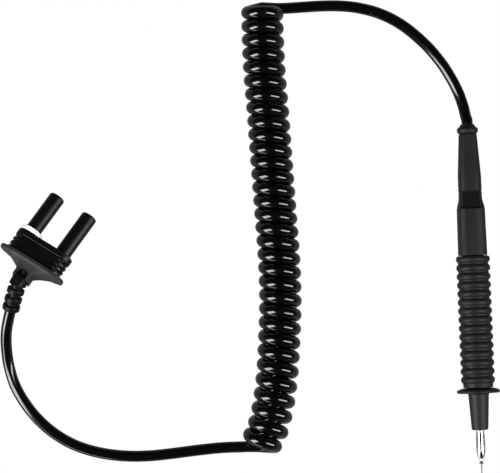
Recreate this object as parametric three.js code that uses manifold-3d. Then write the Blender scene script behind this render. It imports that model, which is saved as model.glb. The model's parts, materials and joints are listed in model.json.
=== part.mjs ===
// Coiled test-probe lead: a hand probe with a lantern-spring tip and a needle, a retractile cord,
// and a twin plug with two shrouded 4 mm pins on 19 mm centres. Millimetres, +Z up. Everything lies
// on the plane z = 0. The origin is the bottom centre of the probe's box, and the probe points to -Y.
import * as THREE from "three";
import { mergeVertices } from "three/addons/utils/BufferGeometryUtils.js";
import Module from "manifold-3d";

const GAP = 0.3; // between solids that touch on the real object
const DEGREE = Math.PI / 180;
const ROUND = 24; // sides of a turned piece

// Probe: distances run along its axis from the point of the needle.
const NEEDLE_RADIUS = 0.32;
const NEEDLE_POINT_LENGTH = 1.6;
const NEEDLE_END = 26;
const CORE_PIN_START = 10.3; // the needle swells to a stouter pin inside the spring basket
const CORE_PIN_END = 21.6;
const CORE_PIN_RADIUS = 1;
const FERRULE_START = 5.8;
const FERRULE_END = 7.1;
const BASKET_START = FERRULE_END + GAP;
const BASKET_END = 21.9;
const BASKET_RADIUS = 2.2;
const BASKET_WALL = 0.28;
const NOSE_START = 22.3;
const NOSE_TIP_RADIUS = 4.05;
const NOSE_ROOT_RADIUS = 4.95;
const NOSE_BORE = 2;
const GUARD_START = 40.2;
const GUARD_THICKNESS = 2.4;
const GUARD_RADIUS = 10.5;
const SPIGOT_LENGTH = 7;
const SPIGOT_RADIUS = 5;
const ROD_RADIUS = 1.6;
const ROD_END = 56;
const RIB_COUNT = 15;
const RIB_PITCH = 4.19;
const RIB_RADIUS = 8.26;
const RIB_ROUND = 1.25;
const FIRST_RIB = 46.6;
const GRIP_RADIUS = 7.2;
const GRIP_BORE = 5.6;
const GRIP_START = GUARD_START + GUARD_THICKNESS + GAP;
const GRIP_END = 106.9;
const CORE_RADIUS = 5.25;
const CORE_BORE = 3.7;
const CORE_END = 126;
const BODY_START = GRIP_END + GAP;
const BODY_FRONT_HALF = 7;
const BODY_REAR_HALF = 6.75;
const SHOULDER_START = 129.6;
const SHOULDER_END = 135.3;
const WAIST_HALF = 5.6;
const BODY_END = 138.2;
const RECESS_LENGTH = 8.4;
const RECESS_WIDTH = 10.4;
const RECESS_FLOOR = 4.7; // height of the recess's floor above the axis
const SLEEVE_START = BODY_END + GAP;
const SLEEVE_HALF_STEPS = [[0, 5.6], [7, 5.6], [15, 5.12], [27.6, 4.35]];
const SLEEVE_BORE = 3.3;
const COLLAR_START = 166.4;
const COLLAR_END = 171;
const COLLAR_RADIUS = 5.2;
const INNER_CABLE_START = 128.5;
const CLAMP_START = 129;
const CLAMP_END = 134;
const WIRE_RADIUS = 0.75;
const BODY_SQUARENESS = 3.2; // exponent of the superellipse of the rear body and the sleeve

// Twin plug: its own frame has the pins along +Y and the front face at y = 0.
const PIN_SPACING = 19;
const SHROUD_LENGTH = 23.7;
const SHROUD_RADIUS = 4;
const SHROUD_BORE = 3.1;
const SHROUD_BACK = 6;
const SHROUD_EDGE = 0.8;
const PIN_RADIUS = 1.15;
const PIN_HEAD_RADIUS = 1.85;
const PIN_RECESS = 1.6;
const PIN_BACK = 9;
const PLUG_BASKET_START = 4;
const PLUG_BASKET_RADIUS = 2.15;
const PLATE_WIDTH = 31;
const PLATE_HEIGHT = 11;
const PLATE_THICKNESS = 3;
const HOUSING_WALL = 1;
const HOUSING_END = 10.9;
const GROOVE_COUNT = 3;
const GROOVE_WIDTH = 0.8;
const GROOVE_DEPTH = 0.8;
const GROOVE_REACH = 4.6;
const COVER_START = HOUSING_END + GAP;
const COVER_RIM = 1.4;
const COVER_HALF_WIDTH = 18;
const COVER_HALF_HEIGHT = 6.4;
const NECK_HALF_WIDTH = 4.6;
const NECK_HALF_HEIGHT = 4.4;
const NECK_START = 17.9;
const NECK_END = 21.3;
const NECK_WINDOW = 5.4; // the boot shows through this slot in the top of the neck
const COVER_SQUARENESS = 3;
const MOUTH_DEPTH = 1;
const WIRE_ROOM_DEPTH = 2.8;
const WIRE_ROOM_WIDTH = 17;
const WIRE_ROOM_HEIGHT = 7.6;
const MARKER_RADIUS = 5.7;
const MARKER_BORE = 4.35;
const MARKER_THICKNESS = 2.2;
const PLUG_HEADING = -37.2 * DEGREE;
const PLUG_PITCH = -17.5 * DEGREE;
const PLUG_ROLL = -13 * DEGREE;
const PLUG_X = -207;
const PLUG_Y = 34.8;
const BOOT_RADIUS = 3;
const BOOT_RING_RADIUS = 4.25;
const BOOT_RING_WIDTH = 2.7;
const BOOT_RING_COUNT = 4;

// Cord: straight ends of one diameter, and a coil of closed turns that is thicker wire.
const CORD_RADIUS = 2.75;
const COIL_RADIUS = 10.45;
const CORD_SIDES = 10;
const COIL_SIDES = 12;
const TAIL_STEPS = 26;
const COIL_STEPS = 18;
const BOOT_STEPS = 8;

// Places on the surface of the cord's route, from the probe's collar to the top of the coil.
const PROBE_TAIL_ROUTE = [
  [-0.4, 89, 5],
  [-1.2, 93.5, 4.1],
  [-2.6, 98.8, 3.3],
  [-4.4, 103.6, 2.9],
  [-6.9, 108.8, 2.8],
  [-11.3, 116.2, 2.8],
  [-18.3, 125.1, 2.8],
  [-28.6, 134.6, 2.8],
  [-39.2, 140.9, 2.8],
  [-49.8, 144.4, 2.8],
  [-59.6, 145.9, 2.8],
  [-69.4, 146.2, 2.8],
  [-79.1, 146, 2.8],
  [-87.6, 145.8, 2.8],
];
// The coil's own axis, from its top to its bottom.
const COIL_ROUTE = [
  [-97.6, 148.2, COIL_RADIUS],
  [-97.9, 134, COIL_RADIUS],
  [-97.8, 115, COIL_RADIUS],
  [-96.9, 95, COIL_RADIUS],
  [-96.1, 72, COIL_RADIUS],
  [-95.2, 48, COIL_RADIUS],
  [-94.3, 24, COIL_RADIUS],
  [-94.4, 4, COIL_RADIUS],
  [-95.6, -14, COIL_RADIUS],
  [-97.2, -31, COIL_RADIUS],
  [-99.6, -46, COIL_RADIUS],
  [-102.8, -58.2, COIL_RADIUS],
  [-106, -64.7, COIL_RADIUS],
  [-107.4, -67.6, COIL_RADIUS],
];
// From the left of the coil's bottom to the end of the plug's boot.
const PLUG_TAIL_ROUTE = [
  [-116.4, -67.6, 2.8],
  [-125, -67.6, 2.8],
  [-134, -68.1, 2.8],
  [-142.4, -68.8, 2.8],
  [-151.2, -69.6, 2.8],
  [-161, -70.2, 2.8],
  [-170.8, -70, 2.8],
  [-180.5, -68.8, 2.8],
  [-190.2, -66.4, 2.8],
  [-199.5, -62.5, 2.8],
  [-208.6, -56.4, 2.8],
  [-216.3, -48.7, 2.8],
  [-222, -40.5, 2.8],
  [-225.8, -32.7, 2.8],
  [-227.9, -24.6, 3.6],
  [-228.6, -17.6, 5.8],
  [-228.5, -10.6, 8.8],
  [-227.6, -4.6, 11.7],
];
const BOOT_TIP = new THREE.Vector3(-225, 4.3, 15.5);
const BOOT_TIP_DIRECTION = new THREE.Vector3(-0.29, -0.88, -0.37).normalize(); // away from the plug

const plastic = (color, roughness) => new THREE.MeshStandardMaterial({ color, roughness, metalness: 0 });
const metal = (color, roughness) => new THREE.MeshStandardMaterial({ color, roughness, metalness: 1 });
const MATERIALS = {
  gripRubber: plastic(0x242424, 0.6),
  bodyPlastic: plastic(0x2b2c2e, 0.5),
  plugPlastic: plastic(0x0f0f0f, 0.4),
  coverPlastic: plastic(0x3b3c40, 0.5),
  bootRubber: plastic(0x121212, 0.6),
  cordJacket: plastic(0x060606, 0.15),
  markerPlastic: plastic(0xf2f2f2, 0.4),
  nickel: metal(0xc9c6c0, 0.2),
  steel: metal(0x9a9a98, 0.3),
  brass: metal(0xb08d3e, 0.35),
  darkMetal: metal(0x3a302a, 0.4),
  insulation: plastic(0x8c1616, 0.5),
};

const wasm = await Module();
wasm.setup();

// A three.js geometry as a manifold-3d solid, and back again.
function solidOf(geometry) {
  const bare = geometry.index ? geometry.toNonIndexed() : geometry.clone();
  bare.deleteAttribute("normal");
  bare.deleteAttribute("uv");
  const merged = mergeVertices(bare, 1e-4);
  const vertProperties = merged.getAttribute("position").array;
  const triVerts = new Uint32Array(merged.index.array);
  return new wasm.Manifold(new wasm.Mesh({ numProp: 3, vertProperties, triVerts }));
}
function geometryOf(solid) {
  const mesh = solid.getMesh();
  const geometry = new THREE.BufferGeometry();
  geometry.setAttribute("position", new THREE.BufferAttribute(mesh.vertProperties, 3));
  geometry.setIndex(new THREE.BufferAttribute(mesh.triVerts, 1));
  geometry.computeVertexNormals();
  return geometry;
}
function cut(geometry, ...tools) {
  return geometryOf(tools.reduce((solid, tool) => solid.subtract(solidOf(tool)), solidOf(geometry)));
}
function join(...geometries) {
  return geometryOf(geometries.map(solidOf).reduce((whole, solid) => whole.add(solid)));
}

function addPiece(group, name, geometry, material) {
  const mesh = new THREE.Mesh(geometry, material);
  mesh.name = name;
  group.add(mesh);
  return mesh;
}

// A solid turned about Y. The outline is [radius, y] points: up the outside, down the bore.
function turned(outline, sides = ROUND) {
  return new THREE.LatheGeometry(outline.map(([radius, y]) => new THREE.Vector2(radius, y)), sides);
}
function ring(boreRadius, radius, start, end, sides = ROUND) {
  const outline = [[radius, start], [radius, end], [boreRadius, end], [boreRadius, start], [radius, start]];
  return turned(outline, sides);
}
function rod(radius, start, end, sides = ROUND) {
  return turned([[0, start], [radius, start], [radius, end], [0, end]], sides);
}
function box(width, depth, height, x, y, z) {
  return new THREE.BoxGeometry(width, depth, height).translate(x, y, z);
}

// Pushes a unit-radius turned solid out to a superellipse whose half width and half height follow y.
function squaredOff(geometry, squareness, halfWidthAt, halfHeightAt) {
  const position = geometry.getAttribute("position");
  for (let i = 0; i < position.count; i++) {
    const [x, y, z] = [position.getX(i), position.getY(i), position.getZ(i)];
    const radius = Math.hypot(x, z);
    if (radius < 1e-6) continue;
    const power = Math.abs(x / radius) ** squareness + Math.abs(z / radius) ** squareness;
    const stretch = power ** (-1 / squareness);
    position.setXYZ(i, x * stretch * halfWidthAt(y), y, z * stretch * halfHeightAt(y));
  }
  return geometry;
}
function unitColumn(stations, sides) {
  const first = stations[0];
  const last = stations[stations.length - 1];
  return turned([[0, first], ...stations.map((y) => [1, y]), [0, last]], sides);
}
// Straight-line reading of [place, value] steps.
function stepsAt(steps, place) {
  const after = steps.findIndex(([at]) => at >= place);
  if (after === 0) return steps[0][1];
  if (after === -1) return steps[steps.length - 1][1];
  const [low, lowValue] = steps[after - 1];
  const [high, highValue] = steps[after];
  return THREE.MathUtils.mapLinear(place, low, high, lowValue, highValue);
}

function tubeAlong(points, radius, sides, steps) {
  const path = new THREE.CatmullRomCurve3(points);
  const outline = new THREE.Shape().absarc(0, 0, radius, 0, 2 * Math.PI);
  const settings = { extrudePath: path, steps, curveSegments: sides / 2, bevelEnabled: false };
  return new THREE.ExtrudeGeometry(outline, settings);
}
const places = (route) => route.map((place) => new THREE.Vector3(...place));

// A spring basket: two end collars joined by four bowed leaves, cut from one turned barrel.
function springBasket(start, end, collarBore, maxRadius) {
  const length = end - start;
  const collar = 0.9;
  const bow = [[0, 0], [0.1, 0.6], [0.25, 0.95], [0.45, 1], [0.75, 0.96], [1, 0.85]];
  const bowStart = start + collar;
  const bowLength = length - 2 * collar;
  const rise = maxRadius - collarBore - BASKET_WALL;
  const inside = bow.map(([at, share]) => [collarBore + rise * share, bowStart + bowLength * at]);
  const outer = inside.map(([radius, y]) => [radius + BASKET_WALL, y]);
  const rearBore = inside[inside.length - 1][0];
  const outline = [
    [collarBore + BASKET_WALL, start],
    ...outer,
    [rearBore + BASKET_WALL, end],
    [rearBore, end],
    ...inside.reverse(),
    [collarBore, start],
    [collarBore + BASKET_WALL, start],
  ];
  const slotWidth = 0.7;
  const slotLength = length - 2 * collar;
  const middle = (start + end) / 2;
  const across = box(4 * maxRadius, slotLength, slotWidth, 0, middle, 0);
  const upright = box(slotWidth, slotLength, 4 * maxRadius, 0, middle, 0);
  return cut(turned(outline, 16), across, upright);
}

// ---- Probe ----
function needle() {
  const taper = 0.3;
  return turned([
    [0, 0],
    [0.08, 0.05],
    [NEEDLE_RADIUS, NEEDLE_POINT_LENGTH],
    [NEEDLE_RADIUS, CORE_PIN_START - taper],
    [CORE_PIN_RADIUS, CORE_PIN_START],
    [CORE_PIN_RADIUS, CORE_PIN_END],
    [NEEDLE_RADIUS, CORE_PIN_END + taper],
    [NEEDLE_RADIUS, NEEDLE_END],
    [0, NEEDLE_END],
  ], 12);
}

function contactRod() {
  const needleBore = NEEDLE_RADIUS + GAP;
  const cupDepth = 5;
  const cupRadius = 1.1;
  return turned([
    [ROD_RADIUS, NOSE_START],
    [ROD_RADIUS, ROD_END],
    [cupRadius, ROD_END],
    [cupRadius, ROD_END - cupDepth],
    [0, ROD_END - cupDepth],
    [0, NEEDLE_END + GAP],
    [needleBore, NEEDLE_END + GAP],
    [needleBore, NOSE_START],
    [ROD_RADIUS, NOSE_START],
  ], 16);
}

function noseAndGuard() {
  const guardEnd = GUARD_START + GUARD_THICKNESS;
  const spigotEnd = guardEnd + SPIGOT_LENGTH;
  const edge = 0.7;
  return turned([
    [NOSE_TIP_RADIUS - edge, NOSE_START],
    [NOSE_TIP_RADIUS - 0.2, NOSE_START + 0.2],
    [NOSE_TIP_RADIUS, NOSE_START + edge],
    [NOSE_ROOT_RADIUS, GUARD_START - 1],
    [NOSE_ROOT_RADIUS + 0.5, GUARD_START],
    [GUARD_RADIUS - 0.6, GUARD_START],
    [GUARD_RADIUS, GUARD_START + 0.6],
    [GUARD_RADIUS, GUARD_START + 1.2],
    [GUARD_RADIUS - 0.6, GUARD_START + 1.8],
    [GRIP_RADIUS + 0.4, guardEnd],
    [SPIGOT_RADIUS, guardEnd],
    [SPIGOT_RADIUS, spigotEnd],
    [NOSE_BORE, spigotEnd],
    [NOSE_BORE, NOSE_START],
    [NOSE_TIP_RADIUS - edge, NOSE_START],
  ]);
}

function gripSleeve() {
  const outline = [[GRIP_RADIUS, GRIP_START]];
  const ribCentre = RIB_RADIUS - RIB_ROUND;
  for (let rib = 0; rib < RIB_COUNT; rib++) {
    const middle = FIRST_RIB + rib * RIB_PITCH;
    for (const turn of [170, 125, 90, 55, 10]) {
      const along = middle + RIB_ROUND * Math.cos(turn * DEGREE);
      outline.push([ribCentre + RIB_ROUND * Math.sin(turn * DEGREE), along]);
    }
  }
  outline.push([GRIP_RADIUS, GRIP_END], [GRIP_BORE, GRIP_END]);
  outline.push([GRIP_BORE, GRIP_START], [GRIP_RADIUS, GRIP_START]);
  return turned(outline, 16);
}

function rearBody() {
  const halves = [
    [BODY_START, BODY_FRONT_HALF],
    [SHOULDER_START, BODY_REAR_HALF],
    [SHOULDER_START + 1.8, BODY_REAR_HALF - 0.3],
    [SHOULDER_END - 1.5, WAIST_HALF + 0.15],
    [SHOULDER_END, WAIST_HALF],
    [BODY_END, WAIST_HALF],
  ];
  const halfAt = (y) => stepsAt(halves, y);
  const column = unitColumn(halves.map(([y]) => y), 32);
  const outside = squaredOff(column, BODY_SQUARENESS, halfAt, halfAt);
  const bore = rod(GRIP_BORE, BODY_START - 1, CORE_END + 1);
  const cableBore = rod(SLEEVE_BORE + 0.35, CORE_END, BODY_END + 1);
  const recessMiddle = BODY_END - RECESS_LENGTH / 2 + 1;
  const recessHeight = BODY_FRONT_HALF;
  const recess = box(RECESS_WIDTH, RECESS_LENGTH + 2, recessHeight, 0, recessMiddle, 0)
    .translate(0, 0, RECESS_FLOOR + recessHeight / 2);
  return cut(outside, bore, cableBore, recess);
}

function tailSleeve() {
  const stations = SLEEVE_HALF_STEPS.map(([along]) => SLEEVE_START + along);
  const halfAt = (y) => stepsAt(SLEEVE_HALF_STEPS, y - SLEEVE_START);
  const outside = squaredOff(unitColumn(stations, 32), BODY_SQUARENESS, halfAt, halfAt);
  const end = stations[stations.length - 1];
  return cut(outside, rod(SLEEVE_BORE, SLEEVE_START - 1, end + 1));
}

function cableCollar() {
  return turned([
    [4.3, COLLAR_START],
    [COLLAR_RADIUS - 0.3, COLLAR_START + 0.9],
    [COLLAR_RADIUS, COLLAR_START + 1.9],
    [COLLAR_RADIUS - 0.8, COLLAR_START + 2.9],
    [3.7, COLLAR_END],
    [SLEEVE_BORE, COLLAR_END],
    [SLEEVE_BORE, COLLAR_START],
    [4.3, COLLAR_START],
  ]);
}

function conductor(side) {
  const start = ROD_END + GAP;
  const end = INNER_CABLE_START - GAP;
  const spread = 1.1;
  const route = [[side * 0.9, start, 0], [side * spread, start + 8, 0]];
  route.push([side * spread, end - 8, 0], [side * spread, end, 0]);
  return tubeAlong(places(route), WIRE_RADIUS, 8, 6);
}

const probe = new THREE.Group();
addPiece(probe, "tip_needle", needle(), MATERIALS.steel);
const ferrule = ring(NEEDLE_RADIUS + GAP, 0.9, FERRULE_START, FERRULE_END, 16);
addPiece(probe, "tip_ferrule", ferrule, MATERIALS.darkMetal);
const tipBasket = springBasket(BASKET_START, BASKET_END, NEEDLE_RADIUS + GAP + 0.05, BASKET_RADIUS);
addPiece(probe, "tip_spring_basket", tipBasket, MATERIALS.nickel);
addPiece(probe, "contact_rod", contactRod(), MATERIALS.brass);
addPiece(probe, "nose_and_finger_guard", noseAndGuard(), MATERIALS.bodyPlastic);
addPiece(probe, "grip_sleeve", gripSleeve(), MATERIALS.gripRubber);
const coreStart = GUARD_START + GUARD_THICKNESS + SPIGOT_LENGTH + GAP;
addPiece(probe, "core_tube", ring(CORE_BORE, CORE_RADIUS, coreStart, CORE_END), MATERIALS.bodyPlastic);
addPiece(probe, "rear_body", rearBody(), MATERIALS.bodyPlastic);
addPiece(probe, "tail_sleeve", tailSleeve(), MATERIALS.bodyPlastic);
addPiece(probe, "cable_collar", cableCollar(), MATERIALS.bodyPlastic);
addPiece(probe, "probe_cable_end", rod(CORD_RADIUS, INNER_CABLE_START, COLLAR_END, 16), MATERIALS.cordJacket);
const cableClamp = ring(CORD_RADIUS + GAP, CORD_RADIUS + 2 * GAP, CLAMP_START, CLAMP_END);
addPiece(probe, "probe_cable_clamp", cableClamp, MATERIALS.brass);
addPiece(probe, "probe_conductor_left", conductor(-1), MATERIALS.insulation);
addPiece(probe, "probe_conductor_right", conductor(1), MATERIALS.insulation);
// The probe rests on the guard's rim and on the rearmost rib.
const lastRib = FIRST_RIB + (RIB_COUNT - 1) * RIB_PITCH;
const restSpan = lastRib - (GUARD_START + GUARD_THICKNESS / 2);
probe.rotation.x = -Math.atan2(GUARD_RADIUS - RIB_RADIUS, restSpan);
const probeBox = new THREE.Box3().setFromObject(probe, true);
const probeCentre = probeBox.getCenter(new THREE.Vector3());
probe.position.set(-probeCentre.x, -probeCentre.y, -probeBox.min.z);
probe.updateMatrixWorld(true);

// ---- Twin plug ----
// A plate or shell with round ends, its outline in XZ and its thickness from y = start back to y = end.
function stadium(width, height) {
  const reach = (width - height) / 2;
  const radius = height / 2;
  const shape = new THREE.Shape();
  shape.absarc(reach, 0, radius, -Math.PI / 2, Math.PI / 2);
  shape.absarc(-reach, 0, radius, Math.PI / 2, 1.5 * Math.PI);
  return shape;
}
function extrudedBack(shape, start, end) {
  const settings = { depth: start - end, bevelEnabled: false, curveSegments: 10 };
  return new THREE.ExtrudeGeometry(shape, settings).rotateX(Math.PI / 2).translate(0, start, 0);
}

function frontPlate() {
  const hole = (x) => rod(SHROUD_RADIUS + GAP, -PLATE_THICKNESS - 1, 1).translate(x, 0, 0);
  const plate = extrudedBack(stadium(PLATE_WIDTH, PLATE_HEIGHT), 0, -PLATE_THICKNESS);
  return cut(plate, hole(-PIN_SPACING / 2), hole(PIN_SPACING / 2));
}

function housing() {
  const front = -PLATE_THICKNESS - GAP;
  const back = -HOUSING_END;
  const outside = extrudedBack(stadium(PLATE_WIDTH - 0.4, PLATE_HEIGHT - 0.4), front, back);
  const hollowWidth = PLATE_WIDTH - 2 * HOUSING_WALL;
  const hollow = extrudedBack(stadium(hollowWidth, PLATE_HEIGHT - 2 * HOUSING_WALL), front + 1, back - 1);
  const pitch = (HOUSING_END - PLATE_THICKNESS) / (GROOVE_COUNT + 0.2);
  const tools = [hollow];
  for (let groove = 0; groove < GROOVE_COUNT; groove++) {
    const middle = front - 0.4 - groove * pitch;
    for (const side of [-1, 1]) {
      const cutter = box(GROOVE_REACH, GROOVE_WIDTH, 2 * PLATE_HEIGHT, 0, middle, 0);
      tools.push(cutter.translate(side * (PLATE_WIDTH / 2 + GROOVE_REACH / 2 - GROOVE_DEPTH), 0, 0));
    }
  }
  return cut(outside, ...tools);
}

// The cover is a flat rim that sweeps in to a narrow square neck.
function rearCover() {
  const sweep = NECK_START - COVER_START - COVER_RIM;
  const shares = [[0, 1], [0.1, 0.6], [0.55, 0.24], [1, 0]];
  const widths = [];
  const heights = [];
  for (const [along, share] of shares) {
    const place = COVER_START + COVER_RIM + along * sweep;
    widths.push([place, THREE.MathUtils.lerp(NECK_HALF_WIDTH, COVER_HALF_WIDTH, share)]);
    heights.push([place, THREE.MathUtils.lerp(NECK_HALF_HEIGHT, COVER_HALF_HEIGHT, share)]);
  }
  const stations = [COVER_START, ...widths.map(([place]) => place), NECK_END];
  const column = unitColumn(stations.map((place) => -place).reverse(), 32);
  const widthAt = (y) => stepsAt([...widths, [NECK_END, NECK_HALF_WIDTH]], -y);
  const heightAt = (y) => stepsAt([...heights, [NECK_END, NECK_HALF_HEIGHT]], -y);
  const outside = squaredOff(column, COVER_SQUARENESS, widthAt, heightAt);
  const mouthShape = stadium(PLATE_WIDTH - 2 * HOUSING_WALL, PLATE_HEIGHT - 2 * HOUSING_WALL);
  const mouth = extrudedBack(mouthShape, -COVER_START + 1, -COVER_START - MOUTH_DEPTH);
  const wireRoomShape = stadium(WIRE_ROOM_WIDTH, WIRE_ROOM_HEIGHT);
  const wireRoom = extrudedBack(wireRoomShape, -COVER_START, -COVER_START - WIRE_ROOM_DEPTH);
  const wireWay = rod(BOOT_RADIUS + 2.5 * GAP, -NECK_END - 1, -COVER_START);
  const windowLength = NECK_END - NECK_START + 2;
  const window = box(NECK_WINDOW, windowLength, 12, 0, -NECK_START - windowLength / 2, 6);
  return cut(outside, mouth, wireRoom, wireWay, window);
}

function shroud() {
  return turned([
    [SHROUD_RADIUS, -SHROUD_BACK],
    [SHROUD_RADIUS, SHROUD_LENGTH - SHROUD_EDGE],
    [SHROUD_RADIUS - 0.25, SHROUD_LENGTH - 0.25],
    [SHROUD_RADIUS - 0.35, SHROUD_LENGTH],
    [SHROUD_BORE, SHROUD_LENGTH],
    [SHROUD_BORE, -SHROUD_BACK],
    [SHROUD_RADIUS, -SHROUD_BACK],
  ]);
}

function plugPin() {
  const tip = SHROUD_LENGTH - PIN_RECESS;
  const headLength = 2;
  const shoulder = SHROUD_BORE - GAP;
  return turned([
    [0, -PIN_BACK],
    [1.5, -PIN_BACK],
    [1.5, -4],
    [shoulder, -4],
    [shoulder, 1],
    [PIN_HEAD_RADIUS, 1],
    [PIN_HEAD_RADIUS, PLUG_BASKET_START - GAP],
    [PIN_RADIUS, PLUG_BASKET_START - GAP],
    [PIN_RADIUS, tip - headLength],
    [PIN_HEAD_RADIUS, tip - headLength],
    [PIN_HEAD_RADIUS, tip - 0.6],
    [1.1, tip],
    [0, tip],
  ], 16);
}

function plugWire(side) {
  const route = [
    [side * PIN_SPACING / 2, -PIN_BACK - GAP, 0],
    [side * 8.8, -10.6, 0],
    [side * 4.6, -11.6, 0],
    [side * 1.4, -13.6, 0],
    [side * 1.1, -(NECK_START - 2 * GAP), 0],
  ];
  return tubeAlong(places(route), WIRE_RADIUS, 8, 12);
}

const plug = new THREE.Group();
addPiece(plug, "plug_front_plate", frontPlate(), MATERIALS.plugPlastic);
addPiece(plug, "plug_housing", housing(), MATERIALS.plugPlastic);
addPiece(plug, "plug_rear_cover", rearCover(), MATERIALS.coverPlastic);
for (const [label, side] of [["left", -1], ["right", 1]]) {
  const x = side * PIN_SPACING / 2;
  addPiece(plug, `shroud_${label}`, shroud(), MATERIALS.plugPlastic).position.x = x;
  addPiece(plug, `pin_${label}`, plugPin(), MATERIALS.brass).position.x = x;
  const basketEnd = SHROUD_LENGTH - PIN_RECESS - 2 - GAP;
  const basket = springBasket(PLUG_BASKET_START, basketEnd, PIN_RADIUS + GAP, PLUG_BASKET_RADIUS);
  addPiece(plug, `pin_spring_${label}`, basket, MATERIALS.nickel).position.x = x;
  addPiece(plug, `plug_wire_${label}`, plugWire(side), MATERIALS.insulation);
}
const marker = ring(MARKER_BORE, MARKER_RADIUS, GAP, GAP + MARKER_THICKNESS);
addPiece(plug, "marker_ring", marker, MATERIALS.markerPlastic).position.x = -PIN_SPACING / 2;
plug.rotation.set(PLUG_PITCH, PLUG_ROLL, PLUG_HEADING, "ZXY");
plug.position.set(PLUG_X, PLUG_Y, 0);
plug.position.z = -new THREE.Box3().setFromObject(plug, true).min.z;
plug.updateMatrixWorld(true);

// The boot is moulded on the cord: it starts inside the neck and bends down towards the surface.
function boot() {
  const onPlugAxis = (back) => plug.localToWorld(new THREE.Vector3(0, -back, 0));
  const inNeck = [NECK_START, (NECK_START + NECK_END) / 2, NECK_END, NECK_END + 2].map(onPlugAxis);
  const beforeTip = BOOT_TIP.clone().addScaledVector(BOOT_TIP_DIRECTION, -6);
  const points = [...inNeck, beforeTip, BOOT_TIP];
  const path = new THREE.CatmullRomCurve3(points);
  const pieces = [tubeAlong(points, BOOT_RADIUS, 16, BOOT_STEPS)];
  const firstRing = NECK_END - NECK_START + 6 * GAP + BOOT_RING_WIDTH / 2;
  const ringPitch = (path.getLength() - firstRing - BOOT_RING_WIDTH / 2) / (BOOT_RING_COUNT - 1);
  for (let index = 0; index < BOOT_RING_COUNT; index++) {
    const along = (firstRing + index * ringPitch) / path.getLength();
    const disc = rod(BOOT_RING_RADIUS, -BOOT_RING_WIDTH / 2, BOOT_RING_WIDTH / 2, 20);
    const turn = new THREE.Quaternion();
    turn.setFromUnitVectors(new THREE.Vector3(0, 1, 0), path.getTangentAt(along));
    const place = path.getPointAt(along);
    disc.applyMatrix4(new THREE.Matrix4().compose(place, turn, new THREE.Vector3(1, 1, 1)));
    pieces.push(disc);
  }
  return join(...pieces);
}

// ---- Cord ----
const onProbeAxis = (along) => probe.localToWorld(new THREE.Vector3(0, along, 0));
const collarMouth = [onProbeAxis(COLLAR_END + GAP), onProbeAxis(COLLAR_END + GAP + 2)];
const beyondBoot = (distance) => BOOT_TIP.clone().addScaledVector(BOOT_TIP_DIRECTION, distance);
const probeTail = [...collarMouth, ...places(PROBE_TAIL_ROUTE)];
const plugTail = [...places(PLUG_TAIL_ROUTE), beyondBoot(GAP + 2), beyondBoot(GAP)];

const lead = new THREE.Group();
lead.add(probe, plug);
addPiece(lead, "plug_boot", boot(), MATERIALS.bootRubber);
const probeTailTube = tubeAlong(probeTail, CORD_RADIUS, CORD_SIDES, TAIL_STEPS);
addPiece(lead, "cord_probe_end", probeTailTube, MATERIALS.cordJacket);
const coilTube = tubeAlong(places(COIL_ROUTE), COIL_RADIUS, COIL_SIDES, COIL_STEPS);
addPiece(lead, "cord_coil", coilTube, MATERIALS.cordJacket);
const plugTailTube = tubeAlong(plugTail, CORD_RADIUS, CORD_SIDES, TAIL_STEPS);
addPiece(lead, "cord_plug_end", plugTailTube, MATERIALS.cordJacket);

export default lead;
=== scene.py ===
"""Looks of a coiled test-probe lead: a hand probe, a retractile cord and a shrouded twin plug.

The probe and the plug are built in their own millimetre frames, which the record's joints place:
y runs along the probe from the needle's point, and along the plug from its front face to its pins.
"""

import json
import math

import bmesh
import bpy
from mathutils import Matrix, Vector


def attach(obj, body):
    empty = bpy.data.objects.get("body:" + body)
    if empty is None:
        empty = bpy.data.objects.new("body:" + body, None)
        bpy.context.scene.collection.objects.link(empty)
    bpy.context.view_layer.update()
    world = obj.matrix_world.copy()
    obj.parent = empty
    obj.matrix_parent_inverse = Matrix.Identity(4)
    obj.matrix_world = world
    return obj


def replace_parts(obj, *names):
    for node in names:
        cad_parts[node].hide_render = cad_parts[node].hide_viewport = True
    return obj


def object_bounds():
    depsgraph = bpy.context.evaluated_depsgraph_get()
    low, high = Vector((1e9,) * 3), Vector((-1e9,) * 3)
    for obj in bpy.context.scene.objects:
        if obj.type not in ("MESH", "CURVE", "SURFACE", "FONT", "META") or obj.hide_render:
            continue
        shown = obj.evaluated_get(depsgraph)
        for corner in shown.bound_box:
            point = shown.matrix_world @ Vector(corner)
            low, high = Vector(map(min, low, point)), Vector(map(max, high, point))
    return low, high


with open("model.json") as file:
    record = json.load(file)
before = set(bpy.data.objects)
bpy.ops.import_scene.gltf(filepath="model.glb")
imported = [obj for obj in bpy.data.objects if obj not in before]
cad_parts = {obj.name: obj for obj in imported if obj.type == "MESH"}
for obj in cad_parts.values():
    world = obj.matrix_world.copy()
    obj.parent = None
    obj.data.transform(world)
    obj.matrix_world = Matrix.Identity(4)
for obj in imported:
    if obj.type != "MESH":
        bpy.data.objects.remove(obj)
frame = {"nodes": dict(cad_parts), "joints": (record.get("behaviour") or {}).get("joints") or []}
cad_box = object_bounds()
MM = 0.001
UP = Vector((0, 0, 1))

# ---- Camera: straight above, turned a little ----
CAMERA_PLACE = (-0.107952, 0.0350047, 1.2)
CAMERA_TURN = math.radians(-2.25)
SENSOR_WIDTH = 36
LENS = 176.3
CLIP_START = 0.01
camera_data = bpy.data.cameras.new("camera")
camera_data.sensor_width = SENSOR_WIDTH
camera_data.lens = LENS
camera_data.clip_start = CLIP_START
camera = bpy.data.objects.new("camera", camera_data)
camera.location = CAMERA_PLACE
camera.rotation_euler = (0, 0, CAMERA_TURN)
bpy.context.scene.collection.objects.link(camera)
bpy.context.scene.camera = camera

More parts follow.
